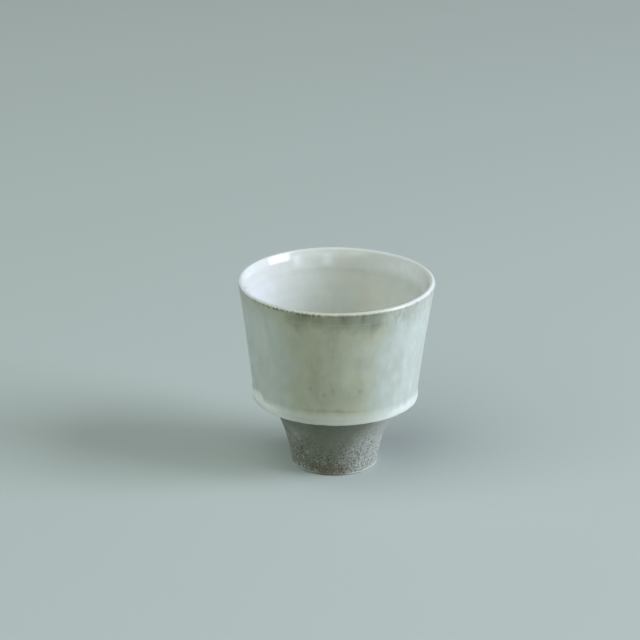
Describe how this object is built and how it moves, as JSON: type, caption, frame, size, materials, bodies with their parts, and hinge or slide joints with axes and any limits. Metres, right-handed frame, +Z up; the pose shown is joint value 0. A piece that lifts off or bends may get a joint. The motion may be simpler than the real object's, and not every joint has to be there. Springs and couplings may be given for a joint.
{
  "type": "tea cup",
  "caption": "Handleless stoneware tea cup: a tapered bowl with a pale streaked glaze and a ridge round its hip, on a bare, hollow, tapered foot.",
  "frame": {"origin": "centre of the ring that the cup stands on, at table level", "axes": "+Z up along the cup's axis of rotation, X and Y level"},
  "size_m": [0.082, 0.082, 0.0809],
  "materials": {
    "stoneware": "bare, matte and sandy",
    "slip": "bare and matte, wiped smooth",
    "liner_glaze": "glossy, off-white",
    "outside_glaze": "satin, off-white and grey-green, streaked"
  },
  "bodies": {
    "root": {"thrown_bowl": "stoneware", "pedestal_foot": "stoneware", "luting_slip": "slip", "seam_coil": "slip", "liner_glaze": "liner_glaze", "outside_glaze": "outside_glaze"}
  },
  "joints": []
}
